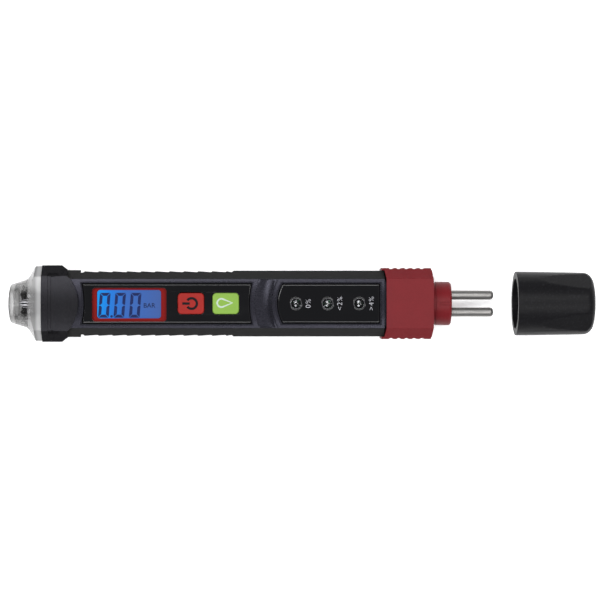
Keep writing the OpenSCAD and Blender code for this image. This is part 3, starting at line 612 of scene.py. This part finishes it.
def addText(name, words, look, place, turn, body, finish):  # turn in degrees
    curve = bpy.data.curves.new(name, "FONT")
    curve.body = words
    curve.size = look["size"] * mm
    curve.align_x, curve.align_y = "CENTER", "CENTER"
    curve.extrude = look["depth"] * mm
    curve.offset = look["weight"] * look["size"] * mm
    curve.space_character = look["spacing"]
    curve.resolution_u = 6
    lettering = bpy.data.objects.new(name + "Curve", curve)
    bpy.context.collection.objects.link(lettering)
    finished = lettering.evaluated_get(bpy.context.evaluated_depsgraph_get())
    solid = bpy.data.meshes.new_from_object(finished)
    bpy.data.objects.remove(lettering)
    solid.transform(Matrix.Translation(place) @ Matrix.Rotation(math.radians(turn), 4, "Z"))
    verts = [tuple(v.co) for v in solid.vertices]
    faces = [tuple(p.vertices) for p in solid.polygons]
    bpy.data.meshes.remove(solid)
    return addPiece(name, verts, faces, body, finish)


# the nodes that keep their shape get rounded edges, in mm, and a finish
softEdges = {
    "nozzle": 0.35, "head_shroud": 0.22, "left_grip": 0.16, "right_grip": 0.16, "front_housing": 0.22,
    "rear_housing": 0.15, "battery_door": 0.12, "probe_collar": 0.3, "probe_holder": 0.25,
    "cap": 0.09, "air_block": 0.12, "housing_screws": 0.08, "pressure_sensor": 0.1,
}
nodeFinish = {
    "nozzle": "nozzle", "head_shroud": "shroud", "left_grip": "rubber", "right_grip": "rubber",
    "front_housing": "frame", "rear_housing": "frame", "battery_door": "frame", "probe_collar": "red",
    "probe_holder": "red", "cap": "cap", "air_block": "block", "housing_screws": "steel",
    "pressure_sensor": "cream", "valve_seal": "smoky", "nozzle_oring": "seal", "nozzle_leds": "dome",
    "nozzle_led_board": "board", "air_tube": "tube", "main_pcb": "board", "processor": "chip",
    "small_components": "ceramic", "lcd_glass": "display", "lcd_backlight": "backlight",
    "lcd_connector_strip": "seal", "led_dry": "lamp", "led_damp": "lamp", "led_wet": "lamp",
    "power_switch": "chip", "fluid_switch": "chip", "power_switch_stem": "white",
    "fluid_switch_stem": "white", "battery_cell": "cell", "battery_spring": "steel",
    "battery_minus_plate": "steel", "battery_plus_plate": "steel", "probe_pin_left": "nickel",
    "probe_pin_right": "nickel", "probe_contacts": "brass",
}
for node, width in softEdges.items():
    softenNode(node, width, edgeLook)
for node, finish in nodeFinish.items():
    nodes[node].data.materials.clear()
    nodes[node].data.materials.append(finishes[finish])
print("carried-over nodes finished:", len(nodeFinish))

lamps = ("led_dry", "led_damp", "led_wet")
keys = ("power_button", "fluid_button")

# the two panels and the display window, in mm; a positive rise bows an end into the panel
panelLook = {
    "edge": 0.6, "holeEdge": 0.06, "corner": 0.8, "windowCorner": 1.1, "windowGap": 0.02, "windowEdge": 0.08,
    "keyCorner": 1.4, "keyGap": 0.15, "displayFront": 0.75, "displayRear": 0.8, "lampFront": -1.75,
    "lampRear": 0, "lampHole": 1.75, "lampEdge": 0.42,
}

# a key's face, the flange below it and the foot that presses the switch, in mm
keyLook = {
    "corner": 1.3, "edge": 0.32, "faceRise": 1.85, "overlap": 0.05, "flange": 0.7, "flangeLow": 0.8,
    "flangeCorner": 1.2, "flangeEdge": 0.08, "footLength": 5, "footWidth": 4, "footTop": 0.9,
    "footCorner": 0.4, "footEdge": 0.05,
}


def keyFace(key, look):  # length and width of a key's face
    low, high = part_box(key)
    return high.x - low.x - 2 * look["flange"] * mm, high.y - low.y - 2 * look["flange"] * mm


def archedOutline(node, frontRise, rearRise, corner, steps=14):
    low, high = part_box(node)
    half = (high.y - low.y) / 2
    centre = (high.y + low.y) / 2
    rows = [2 * i / steps - 1 for i in range(steps + 1)]

    def bow(rise, row):
        return rise * mm * (1 - row * row) if rise > 0 else -rise * mm * row * row

    rear = [(high.x - bow(rearRise, row), centre + half * row) for row in rows]
    front = [(low.x + bow(frontRise, row), centre + half * row) for row in reversed(rows)]
    return filleted(rear + front, corner * mm)


def makePanels(look):
    low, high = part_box("display_panel")
    lensLow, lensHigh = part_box("lcd_lens")
    lens = (lensLow + lensHigh) / 2
    length, width = lensHigh.x - lensLow.x, lensHigh.y - lensLow.y
    gap = 2 * look["windowGap"] * mm
    corner = look["windowCorner"] * mm
    holes = [roundedBox(lens.x, lens.y, length + gap, width + gap, corner)]
    window = roundedBox(lens.x, lens.y, length, width, corner)
    gap = 2 * look["keyGap"] * mm
    for key in keys:
        length, width = keyFace(key, keyLook)
        centre = middle(key)
        holes.append(roundedBox(centre.x, centre.y, length + gap, width + gap, look["keyCorner"] * mm))
    outline = archedOutline("display_panel", look["displayFront"], look["displayRear"], look["corner"])
    shape = plateShape(outline, holes, low.z, high.z, look["edge"] * mm, look["holeEdge"] * mm)
    evenNormals(addPiece("displayPanel", *shape, "meter", "panel", "panel_gloss", ["display_panel"]))

    shape = plateShape(window, [], lensLow.z, lensHigh.z, look["windowEdge"] * mm, 0)
    evenNormals(addPiece("displayWindow", *shape, "meter", "window", "lens_clear", ["lcd_lens"]))

    low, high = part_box("led_panel")
    holes = [circleLine(middle(lamp).x, middle(lamp).y, look["lampHole"] * mm) for lamp in lamps]
    outline = archedOutline("led_panel", look["lampFront"], look["lampRear"], look["corner"])
    shape = plateShape(outline, holes, low.z, high.z, look["edge"] * mm, look["lampEdge"] * mm)
    evenNormals(addPiece("lampPanel", *shape, "meter", "panel", "panel_gloss", ["led_panel"]))


def makeKey(name, key, body, finish, slot, look):
    low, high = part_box(key)
    centre = (low + high) / 2
    length, width = keyFace(key, look)
    flangeTop = high.z - look["faceRise"] * mm
    face = roundedBox(centre.x, centre.y, length, width, look["corner"] * mm)
    flange = roundedBox(centre.x, centre.y, high.x - low.x, high.y - low.y, look["flangeCorner"] * mm)
    foot = roundedBox(centre.x, centre.y, look["footLength"] * mm, look["footWidth"] * mm,
                      look["footCorner"] * mm)
    shape = joined([
        plateShape(face, [], flangeTop - look["overlap"] * mm, high.z, look["edge"] * mm, 0, 6),
        plateShape(flange, [], low.z + look["flangeLow"] * mm, flangeTop, look["flangeEdge"] * mm, 0),
        plateShape(foot, [], low.z, low.z + look["footTop"] * mm, look["footEdge"] * mm, 0),
    ])
    evenNormals(addPiece(name, *shape, body, finish, slot, [key]))
    return centre.x, centre.y, high.z


# the marks on the keys, in mm from the middle of the key; the opening in degrees
powerMark = {"arcX": 0.26, "arc": 1.72, "stroke": 0.8, "opening": 36, "barStart": -2.8, "barEnd": -0.35,
             "steps": 32}
dropMark = {"roundX": -1.4, "shiftY": 0.2, "round": 1.36, "tip": 2.2, "stroke": 0.56, "steps": 28}


def makePowerMark(x, y, z, mark):
    span = 180 - mark["opening"]
    arc = []
    for i in range(mark["steps"] + 1):
        turn = math.radians(span * (2 * i / mark["steps"] - 1))
        arc.append((x + (mark["arcX"] + mark["arc"] * math.cos(turn)) * mm,
                    y + mark["arc"] * math.sin(turn) * mm))
    bar = [(x + mark["barStart"] * mm, y), (x + mark["barEnd"] * mm, y)]
    shape = joined([ribbonShape(path, mark["stroke"] * mm, z - inkRise, z + inkRise) for path in (arc, bar)])
    addPiece("powerMark", *shape, "power_key", "blackInk")


def makeDropMark(x, y, z, mark):
    y += mark["shiftY"] * mm
    reach = mark["tip"] - mark["roundX"]
    touch = math.acos(mark["round"] / reach)  # where the straight sides leave the round end
    line = [(x + mark["tip"] * mm, y)]
    for i in range(mark["steps"] + 1):
        turn = touch + (2 * math.pi - 2 * touch) * i / mark["steps"]
        line.append((x + (mark["roundX"] + mark["round"] * math.cos(turn)) * mm,
                     y + mark["round"] * math.sin(turn) * mm))
    shape = ribbonShape(line, mark["stroke"] * mm, z - inkRise, z + inkRise, True)
    addPiece("dropMark", *shape, "fluid_key", "whiteInk")


def makeKeys(look):
    top = makeKey("powerKey", "power_button", "power_key", "redKey", "button_red", look)
    makePowerMark(*top, powerMark)
    top = makeKey("fluidKey", "fluid_button", "fluid_key", "greenKey", "button_green", look)
    makeDropMark(*top, dropMark)


makePanels(panelLook)
makeKeys(keyLook)
print("panels and keys made")

# the display's frame, its lid's opening, the digits, the point and the unit, in mm; the slant in degrees
displayLook = {
    "openLength": 21, "openWidth": 9.3, "openShift": 0.2, "openCorner": 0.95, "corner": 1.4, "lip": 0.25,
    "lidGap": 0.06, "lidEdge": 0.06, "wallX": 0.8, "wallY": 0.4, "wallEdge": 0.01, "wellCorner": 0.3,
    "digits": ("0", ".", "0", "0"), "left": -10.15, "middle": -0.16, "height": 8.15, "width": 3.5,
    "pitch": 5.08, "stroke": 0.98, "space": 0.13, "slant": 4.5, "inkGap": 0.01, "inkDepth": 0.03,
    "pointSize": 0.85, "pointBack": 0.95, "pointRise": 0.42, "unit": "BAR", "unitX": 6.4, "unitY": -0.3,
    "lettering": {"size": 2.15, "weight": 0.008, "spacing": 1.0, "depth": 0.01},
}


def digitShapes(x, y, z, look):  # a zero of six bars with mitred ends
    tall, wide, stroke, space = (look[key] * mm for key in ("height", "width", "stroke", "space"))
    lean = math.tan(math.radians(look["slant"]))
    level = [(space, tall), (stroke + space, tall - stroke), (wide - stroke - space, tall - stroke),
             (wide - space, tall)]
    waist = tall / 2 + space
    upright = [(0, tall - space), (0, waist), (stroke / 2, waist), (stroke, waist + stroke / 2),
               (stroke, tall - stroke - space)]
    shapes = []
    for bar in (level, upright):
        for flipX in (False, True):
            for flipY in (False, True):
                if bar is level and flipX:
                    continue
                points = [(wide - px if flipX else px, tall - py if flipY else py) for px, py in bar]
                if flipX != flipY:
                    points.reverse()
                outline = [(x + px + lean * (py - tall / 2), y + py - tall / 2) for px, py in points]
                shapes.append(plateShape(outline, [], z, z + look["inkDepth"] * mm, inkEdge, 0, 2))
    return shapes


def makeDisplay(look):
    low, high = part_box("lcd_frame")
    centre = (low + high) / 2
    length, width = high.x - low.x, high.y - low.y
    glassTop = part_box("lcd_glass")[1].z
    lidLow = glassTop + look["lidGap"] * mm
    shift, wallEdge = look["openShift"] * mm, look["wallEdge"] * mm
    hole = roundedBox(centre.x - shift, centre.y + shift, look["openLength"] * mm,
                      look["openWidth"] * mm, look["openCorner"] * mm)
    outer = roundedBox(centre.x, centre.y, length, width, look["corner"] * mm)
    well = roundedBox(centre.x, centre.y, length - 2 * look["wallX"] * mm, width - 2 * look["wallY"] * mm,
                      look["wellCorner"] * mm)
    shape = joined([
        plateShape(outer, [hole], lidLow, high.z, look["lidEdge"] * mm, look["lip"] * mm),
        plateShape(outer, [well], low.z, lidLow + wallEdge, wallEdge, wallEdge, 2),
    ])
    evenNormals(addPiece("displayFrame", *shape, "meter", "lcdRed", "lcd_frame_red", ["lcd_frame"]))

    x = centre.x + look["left"] * mm
    y = centre.y + look["middle"] * mm
    z = glassTop + look["inkGap"] * mm
    shapes = []
    for mark in look["digits"]:
        if mark == ".":
            point = circleLine(x - look["pointBack"] * mm, y - (look["height"] / 2 - look["pointRise"]) * mm,
                               look["pointSize"] / 2 * mm, 16)
            shapes.append(plateShape(point, [], z, z + look["inkDepth"] * mm, inkEdge, 0, 2))
        else:
            shapes += digitShapes(x, y, z, look)
            x += look["pitch"] * mm
    addPiece("displayDigits", *joined(shapes), "meter", "segment")
    place = (centre.x + look["unitX"] * mm, centre.y + look["unitY"] * mm, z + look["inkGap"] * mm)
    addText("displayUnit", look["unit"], look["lettering"], place, 0, "meter", "faintInk")


makeDisplay(displayLook)
print("display made")

# each warning lamp's two leads, its rim and its label, in mm; depths are from the lamp's top
lampLook = {
    "leadX": -0.1, "leadDepth": 4.9, "leadTop": 1.9, "dish": 0.1, "cup": 0.27, "cupY": 0.42, "stem": 1.6,
    "cupRise": 2.3, "post": 0.18, "postY": -0.42, "rim": 1.76, "rimWidth": 0.13, "rimSink": 0.3,
    "rimBulge": 1.4, "rimDepth": 1.1, "rimSteps": 8, "labels": ("0%", "<2%", ">4%"), "labelX": 4.05,
    "labelRise": 0.012, "lettering": {"size": 2.4, "weight": -0.018, "spacing": 1.16, "depth": 0.01},
}


def spunShape(x, y, profile, steps=24, hollow=False):  # radius and height round an upright axis
    rings = [
        [(x + r * math.cos(2 * math.pi * i / steps), y + r * math.sin(2 * math.pi * i / steps), z)
         for i in range(steps)]
        for r, z in profile
    ]
    return loftShape(rings, hollow)


def makeLamp(lamp, words, look):
    x, y, z = middle(lamp).x, middle(lamp).y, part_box(lamp)[1].z
    base, top = z - look["leadDepth"] * mm, z - look["leadTop"] * mm
    dish = top - look["dish"] * mm
    cup, post = look["cup"] * mm, look["post"] * mm
    cupProfile = [(cup * 0.5, base), (cup * 0.6, base + look["stem"] * mm),
                  (cup, base + look["cupRise"] * mm), (cup, top), (cup * 0.85, top), (cup * 0.4, dish)]
    postProfile = [(post, base), (post, dish), (post * 1.5, top), (post * 0.5, dish)]
    leadX = x + look["leadX"] * mm
    shape = joined([spunShape(leadX, y + look["cupY"] * mm, cupProfile),
                    spunShape(leadX, y + look["postY"] * mm, postProfile)])
    addPiece(lamp + "_leads", *shape, "meter", "steel")

    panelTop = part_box("led_panel")[1].z
    rim, rimWidth = look["rim"] * mm, look["rimWidth"] * mm
    low, shoulder = panelTop - look["rimDepth"] * mm, panelTop - look["rimSink"] * mm
    profile = [(rim + rimWidth, low)]
    for i in range(look["rimSteps"] + 1):
        turn = math.pi * i / look["rimSteps"]
        profile.append((rim + rimWidth * math.cos(turn),
                        shoulder + rimWidth * look["rimBulge"] * math.sin(turn)))
    profile.append((rim - rimWidth, low))
    evenNormals(addPiece(lamp + "_bezel", *spunShape(x, y, profile, 40, True), "meter", "bezel"))
    place = (x + look["labelX"] * mm, y, panelTop + look["labelRise"] * mm)
    addText(lamp + "_label", words, look["lettering"], place, 90, "meter", "greyInk")


for lamp, words in zip(lamps, lampLook["labels"]):
    makeLamp(lamp, words, lampLook)
print("warning lamps made")

# the fluted pin that opens the valve, in mm; the cut is a share of the radius
depressorLook = {
    "flutes": 8, "cut": 0.16, "tip": 0.3, "body": 1.4, "tail": 1.0, "cone": 1.5, "collar": 4.1,
    "chamfer": 0.1, "coneSteps": 6, "steps": 72,
}


def makeDepressor(look):
    low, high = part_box("depressor_pin")
    tip, body, tail, collar, chamfer = (look[key] for key in ("tip", "body", "tail", "collar", "chamfer"))
    end = (high.x - low.x) / mm
    # distance from the tip, radius and depth of the flutes, which is 1 at its full depth
    stations = [(0, tip, 0), (0.12, tip * 1.6, 0.5)]
    for i in range(1, look["coneSteps"] + 1):
        part = i / look["coneSteps"]
        stations.append((look["cone"] * part, tip + (body - tip) * part, 1))
    stations += [(collar - chamfer, body, 0.8), (collar, body * 0.9, 0.2), (collar + chamfer / 2, tail, 0),
                 (end - chamfer, tail, 0), (end, tail * 0.85, 0)]
    rings = []
    for along, radius, fluting in stations:
        ring = []
        for i in range(look["steps"]):
            turn = 2 * math.pi * i / look["steps"]
            groove = max(0, math.cos(look["flutes"] * turn)) ** 2 * look["cut"] * fluting
            r = radius * (1 - groove) * mm
            ring.append((low.x + along * mm, r * math.cos(turn), axisZ + r * math.sin(turn)))
        rings.append(ring)
    shape = loftShape(rings)
    evenNormals(addPiece("depressorPin", *shape, "meter", "flutes", "pin_chrome", ["depressor_pin"]))


makeDepressor(depressorLook)
print("depressor pin made")

# a white floor, a sky that darkens overhead and two long softboxes, in metres and watts
studio = {
    "floor": (0.92, 0.92, 0.92), "floorSize": 12, "floorGlow": 0.4,
    "sky": [(0.0, (0.2, 0.2, 0.2)), (0.3, (0.3, 0.3, 0.31)), (0.75, (0.3, 0.305, 0.32)),
            (0.9, (0.12, 0.125, 0.14)), (1.0, (0.08, 0.085, 0.1))],
    "skyStrength": 1.0,
    "boxes": [
        {"name": "farBox", "place": (-0.05, 0.25, 0.82), "size": (1.3, 0.14), "power": 6.8},
        {"name": "nearBox", "place": (0.05, -0.25, 0.82), "size": (1.3, 0.14), "power": 6.2},
    ],
}


def makeFloor(look):
    half = look["floorSize"] / 2
    corners = [(-half, -half, 0), (half, -half, 0), (half, half, 0), (-half, half, 0)]
    mesh = bpy.data.meshes.new("floor")
    mesh.from_pydata(corners, [], [(0, 1, 2, 3)])
    floor = bpy.data.objects.new("floor", mesh)
    paint = Paint("floor", Roughness=0.9, **{"Emission Strength": look["floorGlow"]})
    paint.set(
        Base_Color=paint.blend(paint.noise(300), look["floor"], shaded(look["floor"], 0.985)),
        Emission_Color=(1, 1, 1),
    )
    mesh.materials.append(paint.material)
    bpy.context.collection.objects.link(floor)


def makeSky(look):
    world = bpy.data.worlds.new("studio")
    world.use_nodes = True
    bpy.context.scene.world = world
    tree = world.node_tree
    ramp = tree.nodes.new("ShaderNodeValToRGB")
    split = tree.nodes.new("ShaderNodeSeparateXYZ")
    place = tree.nodes.new("ShaderNodeTexCoord")
    setStops(ramp.color_ramp, look["sky"])
    background = tree.nodes["Background"]
    background.inputs["Strength"].default_value = look["skyStrength"]
    tree.links.new(place.outputs["Generated"], split.inputs[0])
    tree.links.new(split.outputs["Z"], ramp.inputs[0])
    tree.links.new(ramp.outputs["Color"], background.inputs["Color"])


def makeSoftboxes(look):
    for box in look["boxes"]:
        light = bpy.data.lights.new(box["name"], "AREA")
        light.shape = "RECTANGLE"
        light.size, light.size_y = box["size"]
        light.energy = box["power"]
        softbox = bpy.data.objects.new(box["name"], light)
        softbox.location = box["place"]
        aim = Vector((0, 0, axisZ)) - softbox.location
        softbox.rotation_euler = aim.to_track_quat("-Z", "Y").to_euler()
        bpy.context.collection.objects.link(softbox)


makeFloor(studio)
makeSky(studio)
makeSoftboxes(studio)
bpy.context.scene.view_settings.view_transform = "Standard"
print("studio made")

bpy.context.view_layer.update()
